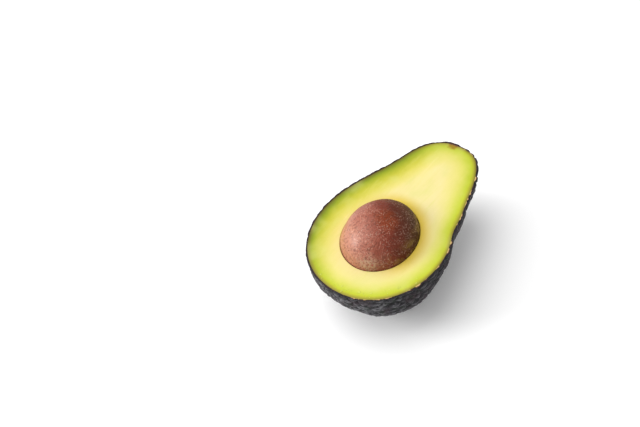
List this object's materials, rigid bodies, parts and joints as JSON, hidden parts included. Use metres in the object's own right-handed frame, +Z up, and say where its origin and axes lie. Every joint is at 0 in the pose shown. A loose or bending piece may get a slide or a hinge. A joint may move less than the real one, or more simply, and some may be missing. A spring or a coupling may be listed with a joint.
{
  "type": "avocado half with seed",
  "caption": "Pear-shaped avocado half cut lengthwise, cut face up, with its seed in the hollow; lies on a small flat spot of its skin.",
  "frame": {"origin": "middle of the flat spot of skin that the half rests on", "axes": "+Z up, out of the cut face; +X along the fruit from the blossom end to the neck; +Y to the left of the neck seen from above"},
  "size_m": [0.1012, 0.0664, 0.049],
  "materials": {
    "peel": "satin",
    "flesh": "satin",
    "seed": "satin",
    "stem_scar": "matte"
  },
  "bodies": {
    "root": {"peel": "peel", "flesh": "flesh", "seed": "seed", "stem_scar": "stem_scar"}
  },
  "joints": []
}
